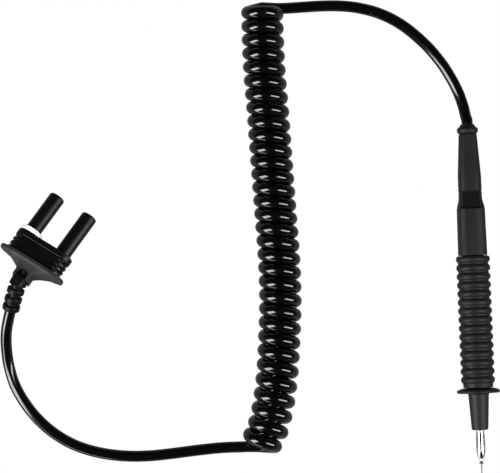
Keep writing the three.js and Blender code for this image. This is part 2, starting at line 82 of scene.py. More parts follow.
# ---- Frames of the probe and the plug, from the record's joints ----
joints = {joint["name"]: joint for joint in frame["joints"]}
TIP_ANCHOR = 14  # where the joints' anchors sit along y, in mm
PIN_ANCHOR = 12


def place_frame(origin, x_axis, y_axis):
    """The matrix that takes millimetres in a part's own frame to metres in the row frame."""
    z_axis = x_axis.cross(y_axis)
    turn = Matrix((x_axis, y_axis, z_axis)).transposed().to_4x4()
    return Matrix.Translation(origin) @ turn @ Matrix.Scale(MM, 4)


probe_axis = Vector(joints["tip_basket_spin"]["axis"]).normalized()
tip_anchor = Vector(joints["tip_basket_spin"]["pos_m"])
PROBE = place_frame(tip_anchor - probe_axis * TIP_ANCHOR * MM, Vector((1, 0, 0)), probe_axis)
plug_axis = Vector(joints["pin_basket_left_spin"]["axis"]).normalized()
left_pin = Vector(joints["pin_basket_left_spin"]["pos_m"])
right_pin = Vector(joints["pin_basket_right_spin"]["pos_m"])
PLUG = place_frame(
    (left_pin + right_pin) / 2 - plug_axis * PIN_ANCHOR * MM,
    (right_pin - left_pin).normalized(),
    plug_axis,
)
PIN_X = (right_pin - left_pin).length / MM / 2
WORLD = Matrix.Scale(MM, 4)

# ---- Materials ----
NOISE_FROM = 0.3  # the part of the noise's range that is spread out
NOISE_TO = 0.7
MOTTLE_SCALE = 120
UNEVEN_SCALE = 60
UNEVENNESS = 0.12  # share by which the roughness goes up and down
GRAIN_DEPTH = 0.0001


def link_noise(nodes, links, scale, detail, low, high):
    """A noise in the row frame, read out between low and high."""
    coordinates = nodes.new("ShaderNodeTexCoord")
    noise = nodes.new("ShaderNodeTexNoise")
    noise.inputs["Scale"].default_value = scale
    noise.inputs["Detail"].default_value = detail
    links.new(coordinates.outputs["Object"], noise.inputs["Vector"])
    spread = nodes.new("ShaderNodeMapRange")
    spread.inputs["From Min"].default_value = NOISE_FROM
    spread.inputs["From Max"].default_value = NOISE_TO
    spread.inputs["To Min"].default_value = low
    spread.inputs["To Max"].default_value = high
    links.new(noise.outputs["Fac"], spread.inputs["Value"])
    return spread.outputs["Result"]


def material(name, colour, roughness, grain=900, bump=0.03, metallic=0, mottle=0.12, specular=0.5):
    """A moulded or turned surface: colour mottled a little, roughness uneven, fine grain."""
    made = bpy.data.materials.new(name)
    made.use_nodes = True
    nodes = made.node_tree.nodes
    links = made.node_tree.links
    shader = nodes["Principled BSDF"]
    shader.inputs["Metallic"].default_value = metallic
    shader.inputs["Specular IOR Level"].default_value = specular
    mix = nodes.new("ShaderNodeMix")
    mix.data_type = "RGBA"
    mix.inputs["A"].default_value = (*[c * (1 - mottle) for c in colour], 1)
    mix.inputs["B"].default_value = (*[min(1, c * (1 + mottle)) for c in colour], 1)
    links.new(link_noise(nodes, links, MOTTLE_SCALE, 3, 0, 1), mix.inputs["Factor"])
    links.new(mix.outputs["Result"], shader.inputs["Base Color"])
    smoothest = roughness * (1 - UNEVENNESS)
    roughest = roughness * (1 + UNEVENNESS)
    uneven = link_noise(nodes, links, UNEVEN_SCALE, 4, smoothest, roughest)
    links.new(uneven, shader.inputs["Roughness"])
    relief = nodes.new("ShaderNodeBump")
    relief.inputs["Strength"].default_value = bump
    relief.inputs["Distance"].default_value = GRAIN_DEPTH
    links.new(link_noise(nodes, links, grain, 5, 0, 1), relief.inputs["Height"])
    links.new(relief.outputs["Normal"], shader.inputs["Normal"])
    return made


BLACK = (0.0022, 0.0022, 0.0022)
LOOKS = {
    "grip_rubber": dict(colour=(0.0085, 0.0085, 0.009), roughness=0.5, grain=1400, specular=0.19),
    # painted shade: near black for the sheet on the probe's top recess floor, standing in for the
    # shade in the recess
    "recess_painted_shade": dict(colour=BLACK, roughness=0.5, grain=1400, specular=0.1),
    "probe_plastic": dict(colour=(0.009, 0.009, 0.0095), roughness=0.48, grain=1600, specular=0.2),
    "plug_plastic": dict(
        colour=(0.0022, 0.0022, 0.002), roughness=0.36, grain=1600, bump=0.02, specular=0.25),
    "cover_plastic": dict(
        colour=(0.022, 0.022, 0.0245), roughness=0.55, grain=1600, bump=0.04, specular=0.2),
    "boot_rubber": dict(colour=BLACK, roughness=0.45, grain=1400, bump=0.04, specular=0.13),
    "cord_jacket": dict(colour=(0.0012, 0.0012, 0.0012), roughness=0.135, grain=300, bump=0.006),
    "marker_plastic": dict(
        colour=(0.94, 0.94, 0.93), roughness=0.4, grain=1400, bump=0.02, mottle=0.02),
    "nickel": dict(colour=(0.58, 0.55, 0.53), roughness=0.24, metallic=1, mottle=0.05),
    "steel": dict(colour=(0.12, 0.105, 0.1), roughness=0.35, metallic=1, mottle=0.08),
    "dark_metal": dict(colour=(0.07, 0.05, 0.04), roughness=0.35, metallic=1, mottle=0.15),
    "brass": dict(colour=(0.5, 0.32, 0.09), roughness=0.32, metallic=1, mottle=0.08),
    "insulation": dict(colour=(0.26, 0.01, 0.01), roughness=0.45, bump=0.02, mottle=0.06),
}
MATERIALS = {name: material(name, **look) for name, look in LOOKS.items()}

# ---- Mesh building ----
MERGE_DISTANCE = 1e-7  # in metres
LEAST_RADIUS = 1e-4  # in mm, for an outline's points on the axis
EDGE_ANGLE = math.radians(28)  # edges sharper than this are rounded
CUT_MARGIN = 1  # how far a cutter runs past the piece
WIRE_RESOLUTION = 8


def finish_piece(made, node, slot, body="lead"):
    """Gives a new piece its material, and stands it on its CAD body for that CAD node."""
    made.data.materials.append(MATERIALS[slot])
    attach(made, body)
    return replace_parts(made, node)


def mesh_object(name, vertices, faces, place):
    data = bpy.data.meshes.new(name)
    data.from_pydata([place @ Vector(v) for v in vertices], [], faces)
    form = bmesh.new()
    form.from_mesh(data)
    bmesh.ops.remove_doubles(form, verts=form.verts, dist=MERGE_DISTANCE)
    bmesh.ops.recalc_face_normals(form, faces=form.faces)
    form.to_mesh(data)
    form.free()
    made = bpy.data.objects.new(name, data)
    bpy.context.scene.collection.objects.link(made)
    return made


def soften(made, width=0.2, segments=2):
    """Rounds the edges of a hard piece a little and shades it smooth."""
    made.data.shade_smooth()
    bevel = made.modifiers.new("edges", "BEVEL")
    bevel.width = width * MM
    bevel.segments = segments
    bevel.limit_method = "ANGLE"
    bevel.angle_limit = EDGE_ANGLE
    bevel.use_clamp_overlap = True
    made.modifiers.new("normals", "WEIGHTED_NORMAL")
    return made


def carve(made, *cutters):
    """Cuts the cutters out of a piece and removes them."""
    for cutter in cutters:
        cut = made.modifiers.new("cut", "BOOLEAN")
        cut.object = cutter
        cut.operation = "DIFFERENCE"
        cut.solver = "EXACT"
    graph = bpy.context.evaluated_depsgraph_get()
    whole = made.data
    made.data = bpy.data.meshes.new_from_object(made.evaluated_get(graph))
    made.modifiers.clear()
    bpy.data.meshes.remove(whole)
    for cutter in cutters:
        bpy.data.objects.remove(cutter)
    return made


def skin(rows, closed_ends):
    """Faces between rows of equal length, each a closed ring; the ends are capped or left open."""
    count = len(rows[0])
    vertices = [point for row in rows for point in row]
    faces = []
    for row in range(len(rows) - 1):
        for i in range(count):
            here = row * count
            above = here + count
            faces.append((here + i, here + (i + 1) % count, above + (i + 1) % count, above + i))
    if closed_ends:
        faces.append(tuple(range(count)))
        faces.append(tuple((len(rows) - 1) * count + i for i in reversed(range(count))))
    return vertices, faces


def circle(radius, y, x=0, sides=64):
    turns = [2 * math.pi * i / sides for i in range(sides)]
    return [(x + radius * math.cos(a), y, radius * math.sin(a)) for a in turns]


def turned(name, outline, place, x=0, sides=64):
    """A piece turned about y from (radius, y) points, which close up or end on the axis."""
    rows = [circle(max(radius, LEAST_RADIUS), y, x, sides) for radius, y in outline]
    bored = outline[0] == outline[-1]
    return mesh_object(name, *skin(rows, not bored), place)


def round_cutter(radius, start, end, place, x=0):
    """A rod along y to cut a bore with."""
    return turned("cutter", [(0, start), (radius, start), (radius, end), (0, end)], place, x)


def ring_outline(bore, radius, start, end):
    return [(radius, start), (radius, end), (bore, end), (bore, start), (radius, start)]


def block(size, middle, place):
    (w, d, h), (x, y, z) = size, middle
    bottom, top = z - h / 2, z + h / 2
    corners = [(-w / 2, -d / 2), (w / 2, -d / 2), (w / 2, d / 2), (-w / 2, d / 2)]
    rows = [[(x + a, y + b, level) for a, b in corners] for level in (bottom, top)]
    return mesh_object("cutter", *skin(rows, True), place)


def ease(share):
    """Goes from 0 to 1 with a level start and end."""
    return share * share * (3 - 2 * share)


def oval(y, half_width, half_height, exponent, sides=96):
    """A superellipse across y, closer to a rectangle as the exponent grows."""
    points = []
    for i in range(sides):
        a = 2 * math.pi * i / sides
        c, s = math.cos(a), math.sin(a)
        stretch = (abs(c) ** exponent + abs(s) ** exponent) ** (-1 / exponent)
        points.append((half_width * c * stretch, y, half_height * s * stretch))
    return points


def smooth_path(points, steps=12):
    """A Catmull-Rom curve through the points."""
    ends = [points[0] * 2 - points[1], *points, points[-1] * 2 - points[-2]]
    path = []
    for i in range(1, len(ends) - 2):
        a, b, c, d = ends[i - 1:i + 3]
        for step in range(steps):
            t = step / steps
            squared = (2 * a - 5 * b + 4 * c - d) * t ** 2
            cubed = (3 * b - a - 3 * c + d) * t ** 3
            path.append(0.5 * (2 * b + (c - a) * t + squared + cubed))
    return [*path, points[-1]]


def lengths_along(path):
    total = [0.0]
    for a, b in zip(path, path[1:]):
        total.append(total[-1] + (b - a).length)
    return total


def point_at(path, lengths, distance):
    """The place and the direction at a distance along a path."""
    i = 1
    while i < len(path) - 1 and lengths[i] < distance:
        i += 1
    share = (distance - lengths[i - 1]) / (lengths[i] - lengths[i - 1])
    before, after = [
        (path[min(k + 1, len(path) - 1)] - path[max(k - 1, 0)]).normalized() for k in (i - 1, i)
    ]
    return path[i - 1].lerp(path[i], share), before.lerp(after, share).normalized()


def wire(name, points, radius, place, radii=None):
    """A round wire as a curve of one open spline, in metres."""
    data = bpy.data.curves.new(name, "CURVE")
    data.dimensions = "3D"
    data.bevel_depth = radius * MM
    data.bevel_resolution = WIRE_RESOLUTION
    data.use_fill_caps = True
    spline = data.splines.new("POLY")
    spline.points.add(len(points) - 1)
    for i, point in enumerate(points):
        spline.points[i].co = (*(place @ point), 1)
        spline.points[i].radius = radii[i] / radius if radii else 1
    made = bpy.data.objects.new(name, data)
    bpy.context.scene.collection.objects.link(made)
    return made


# ---- Cord: the route's points are the part's own, in metres ----
TAIL_RADIUS = 2.75
STRAND_RADIUS = 0.75
COIL_WIRE_RADIUS = 3.22
COIL_TURN_RADIUS = 7.22
COIL_TURNS = 32
COIL_START_INSET = 1.9  # how far down its axis the coil starts
LEAN = math.radians(8.5)  # how far the top turn leans, fading out over the next few
LEANING_TURNS = 9
BUNCHING = 2  # in mm, how far the middle turns crowd towards the top
LOOSE_TURNS = 6  # turns at the bottom where the coil bends and opens
LOOSENESS = 0.05  # share by which their pitch grows
TURN_SHEAR = 0.55  # how far the turns stay square to the row frame where the coil bends
STEPS_PER_TURN = 36
THICKENING = 14  # length over which the tail swells to the coil's wire
TAIL_OVERLAP = 2  # how far the cord's ends reach into the collar and the boot
COLLAR_END = 171
BOOT_TIP = Vector((-0.225, 0.0043, 0.0155)) / MM
BOOT_TIP_DIRECTION = Vector((-0.29, -0.88, -0.37)).normalized()
PROBE_TAIL = [
    (-0.0004, 0.089, 0.005),
    (-0.0012, 0.0935, 0.0041),
    (-0.0026, 0.0988, 0.0033),
    (-0.0044, 0.1036, 0.0029),
    (-0.0069, 0.1088, 0.0028),
    (-0.0113, 0.1162, 0.0028),
    (-0.0183, 0.1251, 0.0028),
    (-0.0286, 0.1346, 0.0028),
    (-0.0392, 0.1409, 0.0028),
    (-0.0498, 0.1444, 0.0028),
    (-0.0596, 0.1459, 0.0028),
    (-0.0694, 0.1462, 0.0028),
    (-0.0791, 0.146, 0.0028),
    (-0.0876, 0.1458, 0.0029),
]
COIL_AXIS = [
    (-0.0976, 0.1482, 0.01045),
    (-0.0979, 0.134, 0.01045),
    (-0.0978, 0.115, 0.01045),
    (-0.0969, 0.095, 0.01045),
    (-0.0961, 0.072, 0.01045),
    (-0.0952, 0.048, 0.01045),
    (-0.0943, 0.024, 0.01045),
    (-0.0944, 0.004, 0.01045),
    (-0.0956, -0.014, 0.01045),
    (-0.0972, -0.031, 0.01045),
    (-0.0996, -0.046, 0.01045),
    (-0.1028, -0.0582, 0.01045),
    (-0.106, -0.0647, 0.01045),
    (-0.1074, -0.0676, 0.01045),
]
PLUG_TAIL = [
    (-0.1164, -0.0676, 0.0029),
    (-0.125, -0.0676, 0.0028),
    (-0.134, -0.0681, 0.0028),
    (-0.1424, -0.0688, 0.0028),
    (-0.1512, -0.0696, 0.0028),
    (-0.161, -0.0702, 0.0028),
    (-0.1708, -0.07, 0.0028),
    (-0.1805, -0.0688, 0.0028),
    (-0.1902, -0.0664, 0.0028),
    (-0.1995, -0.0625, 0.0028),
    (-0.2086, -0.0564, 0.0028),
    (-0.2163, -0.0487, 0.0028),
    (-0.222, -0.0405, 0.0028),
    (-0.2258, -0.0327, 0.0028),
    (-0.2279, -0.0246, 0.0036),
    (-0.2286, -0.0176, 0.0058),
    (-0.2285, -0.0106, 0.0088),
    (-0.2276, -0.0046, 0.0117),
]


def in_mm(route):
    return [Vector(point) / MM for point in route]


def coil_path():
    """Close turns round the coil's curved axis, from under its top end to under its bottom end."""
    axis = smooth_path(in_mm(COIL_AXIS))
    lengths = lengths_along(axis)
    run = lengths[-1] - COIL_START_INSET
    pitch = run / (COIL_TURNS + LOOSE_TURNS * LOOSENESS)
    turns = []
    for step in range(COIL_TURNS * STEPS_PER_TURN + 1):
        turn = step / STEPS_PER_TURN
        loose = max(0, turn - COIL_TURNS + LOOSE_TURNS)
        upright = max(0, turn - LEANING_TURNS) / (COIL_TURNS - LEANING_TURNS)
        bunched = BUNCHING * math.sin(math.pi * upright)
        at = COIL_START_INSET + pitch * (turn + LOOSENESS * loose) - bunched
        middle, along = point_at(axis, lengths, at)
        across = UP.cross(along.lerp(Vector((0, -1, 0)), TURN_SHEAR)).normalized()
        across.rotate(Matrix.Rotation(LEAN * max(0, 1 - turn / LEANING_TURNS), 3, "Z"))
        angle = -math.pi / 2 - 2 * math.pi * turn
        out = math.cos(angle) * across + math.sin(angle) * UP
        turns.append(middle + COIL_TURN_RADIUS * out)
    return turns


def cord_route():
    """The whole cord's centreline with its radius at each point."""
    out_of_collar = [
        PROBE @ Vector((0, COLLAR_END + y, 0)) / MM for y in (-TAIL_OVERLAP, TAIL_OVERLAP)
    ]
    coil = coil_path()
    first = smooth_path([*out_of_collar, *in_mm(PROBE_TAIL), coil[0]])
    overlap = BOOT_TIP_DIRECTION * TAIL_OVERLAP
    into_boot = [BOOT_TIP + overlap, BOOT_TIP - overlap]
    last = smooth_path([coil[-1], *in_mm(PLUG_TAIL), *into_boot])
    path = [*first[:-1], *coil, *last[1:]]
    lengths = lengths_along(path)
    start = lengths[len(first) - 1]
    end = lengths[len(first) + len(coil) - 2]
    radii = []
    for at in lengths:
        inside = min(at - start, end - at) / THICKENING + 0.5
        share = min(1, max(0, inside))
        radii.append(TAIL_RADIUS + (COIL_WIRE_RADIUS - TAIL_RADIUS) * ease(share))
    return path, radii, lengths[-1]


cord_path, cord_radii, cord_length = cord_route()
cord = wire("retractile_cord", cord_path, COIL_WIRE_RADIUS, WORLD, cord_radii)
finish_piece(cord, "cord_coil", "cord_jacket")
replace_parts(cord, "cord_probe_end", "cord_plug_end")

# ---- Probe ----
NEEDLE_RADIUS = 0.32
NEEDLE_END = 26
CORE_PIN_RADIUS = 1
CORE_PIN_START = 10.3
CORE_PIN_END = 21.6
CORE_PIN_TAPER = 0.3
BASKET_WALL = 0.28
BASKET_SLOT = 0.55
BASKET_COLLAR = 0.9
BASKET_STEPS = 24
BOW_RISE_END = 0.35  # where along a leaf it has bowed out in full
BOW_FALL_START = 0.45  # where it starts to come in again
BOW_FALL = 0.15  # how far it has come in at the rear
NOSE_START = 22.3
GUARD_START = 40.2
GUARD_END = 42.6
SPIGOT_END = GUARD_END + 7
SPIGOT_RADIUS = 5
NOSE_BORE = 2
GRIP_START = 42.9
GRIP_END = 106.9
GRIP_BORE = 5.6
RIB_COUNT = 15
RIB_PITCH = 4.19
FIRST_RIB = 46.6
RIB_RADIUS = 8.26
RIB_ROUND = 1.35
RIB_STRETCH = 1.28
RIB_STEPS = 10
RIB_FIRST_ANGLE = 162
RIB_ANGLE_STEP = 14.4
GRIP_VALLEY = 7.2
BODY_START = 107.2
BODY_END = 138.2
BODY_BORE_END = 127
CABLE_WAY_START = 120
CABLE_WAY_RADIUS = 3.65
RECESS_SIZE = 10.4
RECESS_FLOOR = 4.7
RECESS_CUT = 8
RECESS_MIDDLE = BODY_END - 3.2
SEAM_Y = 126.6
SLEEVE_START = 138.5
SLEEVE_END = 166.1
SLEEVE_BORE = 3.3
COLLAR_START = 166.4
SQUARENESS = 3.2


def leaf_bow(share):
    """How far a basket's leaf has bowed out, as a share of its rise, at a share of its length."""
    rise = math.sin(math.pi / 2 * min(1, share / BOW_RISE_END)) ** 0.8
    return rise - BOW_FALL * max(0, (share - BOW_FALL_START) / (1 - BOW_FALL_START)) ** 1.6


def spring_basket(name, start, end, collar_bore, max_radius, place, x=0):
    """Two collars joined by four bowed leaves of sheet metal."""
    length = end - start - 2 * BASKET_COLLAR
    rise = max_radius - collar_bore - BASKET_WALL
    inside = []
    for step in range(BASKET_STEPS + 1):
        share = step / BASKET_STEPS
        y = start + BASKET_COLLAR + length * share
        inside.append((collar_bore + rise * leaf_bow(share), y))
    rear = inside[-1][0]
    outline = [(collar_bore + BASKET_WALL, start)]
    outline += [(radius + BASKET_WALL, y) for radius, y in inside]
    outline += [(rear + BASKET_WALL, end), (rear, end), *reversed(inside)]
    outline += [(collar_bore, start), outline[0]]
    barrel = turned(name, outline, place, x)
    reach = 4 * max_radius
    middle = (x, (start + end) / 2, 0)
    across = block((reach, length, BASKET_SLOT), middle, place)
    upright = block((BASKET_SLOT, length, reach), middle, place)
    made = carve(barrel, across, upright)
    made.data.shade_smooth()
    made.data.set_sharp_from_angle(angle=math.radians(35))
    return made


def rib_outline():
    outline = [(GRIP_VALLEY, GRIP_START)]
    centre = RIB_RADIUS - RIB_ROUND
    for rib in range(RIB_COUNT):
        middle = FIRST_RIB + rib * RIB_PITCH
        for step in range(RIB_STEPS + 1):
            a = math.radians(RIB_FIRST_ANGLE - RIB_ANGLE_STEP * step)
            y = middle + RIB_STRETCH * RIB_ROUND * math.cos(a)
            outline.append((centre + RIB_ROUND * math.sin(a), y))
    outline += [(GRIP_VALLEY, GRIP_END), (GRIP_BORE, GRIP_END), (GRIP_BORE, GRIP_START), outline[0]]
    return outline


def nose_outline():
    """The nose cone, its fillet to the guard, the guard's rim and dished back, and the spigot."""
    front = [(3.3, 0), (3.75, 0.12), (4, 0.45), (4.08, 0.9)]
    fillet = [(4.95, -1.4), (5.05, -0.7), (5.35, -0.2), (5.8, 0)]
    rim = [(9.9, 0), (10.3, 0.2), (10.5, 0.65), (10.42, 1.15), (10, 1.6), (9, 2)]
    outline = [(radius, NOSE_START + y) for radius, y in front]
    outline += [(radius, GUARD_START + y) for radius, y in fillet + rim]
    outline += [(7.6, GUARD_END), (SPIGOT_RADIUS, GUARD_END), (SPIGOT_RADIUS, SPIGOT_END)]
    return [*outline, (NOSE_BORE, SPIGOT_END), (NOSE_BORE, NOSE_START), outline[0]]


def squarish_shell(name, stations):
    """A piece of squarish cross-section, from (y, half width) stations along the probe."""
    return mesh_object(name, *skin([oval(y, h, h, SQUARENESS) for y, h in stations], True), PROBE)


def rear_body():
    """A squarish shell that narrows in its second half, with a recess and a seam in its top."""
    shell = squarish_shell("rear_body_shell", [
        (BODY_START, 6.9), (BODY_START + 0.5, 7), (129.6, 6.75), (131.2, 6.5), (132.6, 6.1),
        (134.2, 5.72), (135.6, 5.6), (BODY_END, 5.6),
    ])
    bore = round_cutter(GRIP_BORE, BODY_START - CUT_MARGIN, BODY_BORE_END, PROBE)
    cable_way = round_cutter(CABLE_WAY_RADIUS, CABLE_WAY_START, BODY_END + CUT_MARGIN, PROBE)
    recess_middle = (0, RECESS_MIDDLE, RECESS_FLOOR + RECESS_CUT / 2)
    recess = block((RECESS_SIZE, RECESS_SIZE, RECESS_CUT), recess_middle, PROBE)
    seam = block((20, 0.3, 1), (0, SEAM_Y, 7.2), PROBE)
    return carve(shell, bore, cable_way, recess, seam)


def tail_sleeve():
    shell = squarish_shell("tail_sleeve_shell", [
        (SLEEVE_START, 5.6), (SLEEVE_START + 7, 5.6), (SLEEVE_START + 15, 5.12), (SLEEVE_END, 4.35),
    ])
    front, back = SLEEVE_START - CUT_MARGIN, SLEEVE_END + CUT_MARGIN
    return carve(shell, round_cutter(SLEEVE_BORE, front, back, PROBE))


def collar_outline():
    rise = [(4.3, 0), (4.7, 0.45), (5.1, 1.1), (5.2, 1.9)]
    fall = [(5.05, 2.5), (4.6, 3), (4, 3.5), (3.6, 4)]
    outline = [(radius, COLLAR_START + y) for radius, y in rise + fall]
    inside = [(SLEEVE_BORE, COLLAR_END), (SLEEVE_BORE, COLLAR_START)]
    return [*outline, (3.4, COLLAR_END), *inside, outline[0]]


needle_point = [(0, 0), (0.07, 0.03), (0.12, 0.25), (NEEDLE_RADIUS, 1.6)]
core_pin = [
    (NEEDLE_RADIUS, CORE_PIN_START - CORE_PIN_TAPER),
    (CORE_PIN_RADIUS, CORE_PIN_START),
    (CORE_PIN_RADIUS, CORE_PIN_END),
    (NEEDLE_RADIUS, CORE_PIN_END + CORE_PIN_TAPER),
]
needle_outline = [*needle_point, *core_pin, (NEEDLE_RADIUS, NEEDLE_END), (0, NEEDLE_END)]
needle = turned("needle", needle_outline, PROBE, sides=32)
finish_piece(soften(needle, 0.03), "tip_needle", "steel")
ferrule_outline = ring_outline(bore=NEEDLE_RADIUS + 0.1, radius=0.9, start=5.8, end=7.1)
ferrule = turned("ferrule", ferrule_outline, PROBE, sides=48)
finish_piece(soften(ferrule, 0.12), "tip_ferrule", "dark_metal")
tip_basket = spring_basket(
    "tip_basket_leaves", start=7.4, end=21.9, collar_bore=0.67, max_radius=2.2, place=PROBE)
finish_piece(tip_basket, "tip_spring_basket", "nickel", "tip_basket")
nose = turned("nose_and_guard", nose_outline(), PROBE, sides=96)
finish_piece(soften(nose, 0.1), "nose_and_finger_guard", "probe_plastic")
grip = turned("ribbed_grip", rib_outline(), PROBE, sides=96)
finish_piece(soften(grip, 0.08), "grip_sleeve", "grip_rubber")
finish_piece(soften(rear_body(), 0.25), "rear_body", "probe_plastic")
# A thin near-black sheet on the recess floor: painted shade in the recess, which the soft lights
# leave too bright
shade_sheet = soften(block(size=(8.2, 8.1, 0.2), middle=(0, 133.9, 4.82), place=PROBE), 0.08)
shade_sheet.name = "recess_shade_sheet"
shade_sheet.data.materials.append(MATERIALS["recess_painted_shade"])
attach(shade_sheet, "lead")
finish_piece(soften(tail_sleeve(), 0.2), "tail_sleeve", "probe_plastic")
collar = turned("collar", collar_outline(), PROBE, sides=96)
finish_piece(soften(collar, 0.12), "cable_collar", "probe_plastic")
cable_points = [Vector((0, y, 0)) for y in (128.5, 140, 155, COLLAR_END - TAIL_OVERLAP)]
inner_cable = wire("inner_cable", cable_points, TAIL_RADIUS, PROBE)
finish_piece(inner_cable, "probe_cable_end", "cord_jacket")
for label, side in (("left", -1), ("right", 1)):
    route = ((0.9, 56.3), (1.1, 64.3), (1.1, 120.2), (1.1, 128.2))
    points = [Vector((side * x, y, 0)) for x, y in route]
    conductor = wire(f"conductor_{label}", smooth_path(points), STRAND_RADIUS, PROBE)
    finish_piece(conductor, f"probe_conductor_{label}", "insulation")
inner_slots = {
    "contact_rod": "brass", "core_tube": "probe_plastic", "probe_cable_clamp": "brass",
}
for node, slot in inner_slots.items():
    frame["nodes"][node].data.materials.clear()
    frame["nodes"][node].data.materials.append(MATERIALS[slot])

# ---- Twin plug ----
PLATE_WIDTH = 31
PLATE_HEIGHT = 11
PLATE_THICKNESS = 3
HOUSING_END = 10.9
GROOVE_COUNT = 3
GROOVE_DEPTH = 0.8
GROOVE_HALF = 0.7
GROOVE_FADE = 1.8
GROOVE_STEPS = 8
COVER_START = 11.2
COVER_RIM = 1.4
COVER_HALF_WIDTH = 18
COVER_HALF_HEIGHT = 6.4
RIM_SQUARENESS = 3
COVER_SQUARENESS = 5
SWEEP = ((0.06, 0.78), (0.12, 0.62), (0.3, 0.44), (0.55, 0.24), (0.8, 0.09), (1, 0))
NECK_HALF_WIDTH = 4.6
NECK_HALF_HEIGHT = 4.4
NECK_START = 17.9
NECK_END = 21.3
NECK_WINDOW = 5.4
ARCH_STEPS = 16
ARCH_HEIGHT = 12
MOUTH_DEPTH = 1
WIRE_ROOM_WIDTH = 17
WIRE_ROOM_HEIGHT = 7.6
WIRE_ROOM_DEPTH = 2.8
WIRE_WAY_RADIUS = 3.5
SHROUD_LENGTH = 23.7
SHROUD_RADIUS = 4
SHROUD_BORE = 3.1
SHROUD_HOLE = 4.15


def stadium(width, height, y, groove=0.0, arc_steps=24):
    """A plate's outline with round ends. A groove cuts into them and fades towards the flats."""
    reach = (width - height) / 2
    points = []
    for side in (1, -1):
        for step in range(arc_steps + 1):
            a = math.pi * step / arc_steps - math.pi / 2
            share = min(1, GROOVE_FADE * math.cos(a))
            radius = height / 2 - groove * ease(share)
            points.append((side * (reach + radius * math.cos(a)), y, side * radius * math.sin(a)))
    return points


def stadium_prism(name, width, height, front, back):
    rows = [stadium(width, height, y) for y in (front, back)]
    return mesh_object(name, *skin(rows, True), PLUG)


def front_plate():
    plate = stadium_prism("front_plate", PLATE_WIDTH, PLATE_HEIGHT, 0, -PLATE_THICKNESS)
    back = -PLATE_THICKNESS - CUT_MARGIN
    holes = [round_cutter(SHROUD_HOLE, back, CUT_MARGIN, PLUG, x) for x in (-PIN_X, PIN_X)]
    return carve(plate, *holes)


def housing():
    front = -PLATE_THICKNESS - 0.3
    pitch = (HOUSING_END - PLATE_THICKNESS) / (GROOVE_COUNT + 0.2)
    width, height = PLATE_WIDTH - 0.4, PLATE_HEIGHT - 0.4
    rows = [stadium(width, height, front)]
    for groove in range(GROOVE_COUNT):
        middle = front - 1 - groove * pitch
        for step in range(GROOVE_STEPS + 1):
            across = 2 * step / GROOVE_STEPS - 1
            y = middle - GROOVE_HALF * across
            rows.append(stadium(width, height, y, GROOVE_DEPTH * math.cos(math.pi / 2 * across)))
    rows.append(stadium(width, height, -HOUSING_END))
    shell = mesh_object("housing", *skin(rows, True), PLUG)
    hollow = stadium_prism(
        "cutter", PLATE_WIDTH - 3, PLATE_HEIGHT - 2, front + CUT_MARGIN, -HOUSING_END - CUT_MARGIN)
    return carve(shell, hollow)


def arch_cutter(width, front, back):
    """Cuts a slot with a half-round front end down into the top."""
    half = width / 2
    turns = [math.pi * i / ARCH_STEPS for i in range(ARCH_STEPS + 1)]
    outline = [(half * math.cos(a), front - half + half * math.sin(a)) for a in turns]
    outline += [(-half, back), (half, back)]
    rows = [[(x, y, level) for x, y in outline] for level in (0, ARCH_HEIGHT)]
    return mesh_object("cutter", *skin(rows, True), PLUG)


def rear_cover():
    """A flat rim that sweeps in to a narrow square neck, with a slot in the neck's top."""
    rim_end = COVER_START + COVER_RIM
    sweep = NECK_START - rim_end
    rows = []
    for y in (COVER_START, rim_end):
        rows.append(oval(-y, COVER_HALF_WIDTH, COVER_HALF_HEIGHT, RIM_SQUARENESS))
    for along, share in SWEEP:
        width = NECK_HALF_WIDTH + (COVER_HALF_WIDTH - NECK_HALF_WIDTH) * share
        height = NECK_HALF_HEIGHT + (COVER_HALF_HEIGHT - NECK_HALF_HEIGHT) * share
        rows.append(oval(-(rim_end + sweep * along), width, height, COVER_SQUARENESS))
    rows.append(oval(-NECK_END, NECK_HALF_WIDTH, NECK_HALF_HEIGHT, COVER_SQUARENESS))
    shell = mesh_object("rear_cover", *skin(rows, True), PLUG)
    front = -COVER_START
    mouth = stadium_prism(
        "cutter", PLATE_WIDTH - 2, PLATE_HEIGHT - 2, front + CUT_MARGIN, front - MOUTH_DEPTH)
    wire_room = stadium_prism(
        "cutter", WIRE_ROOM_WIDTH, WIRE_ROOM_HEIGHT, front, front - WIRE_ROOM_DEPTH)
    back = -NECK_END - CUT_MARGIN
    wire_way = round_cutter(WIRE_WAY_RADIUS, back, front, PLUG)
    window = arch_cutter(NECK_WINDOW, -NECK_START + 1.2, back)
    return carve(shell, mouth, wire_room, wire_way, window)


def shroud_outline():
    """A tube with a rounded outer edge at its open end."""
    root = -6
    rounding = ((SHROUD_RADIUS, 0.9), (3.93, 0.45), (3.72, 0.12), (3.5, 0))
    edge = [(radius, SHROUD_LENGTH - back) for radius, back in rounding]
    inside = [(SHROUD_BORE, SHROUD_LENGTH), (SHROUD_BORE, root)]
    return [(SHROUD_RADIUS, root), *edge, *inside, (SHROUD_RADIUS, root)]


def pin_outline():
    """A pin with its solder stud and flange, a neck for the spring and a head that keeps it on."""
    tip = SHROUD_LENGTH - 1.6
    root = [(0, -9), (1.5, -9), (1.5, -4), (2.8, -4), (2.8, 1), (1.85, 1), (1.85, 3.7), (1.15, 3.7)]
    head = [(1.15, tip - 2), (1.85, tip - 2), (1.85, tip - 0.6), (1.1, tip), (0, tip)]
    return root + head


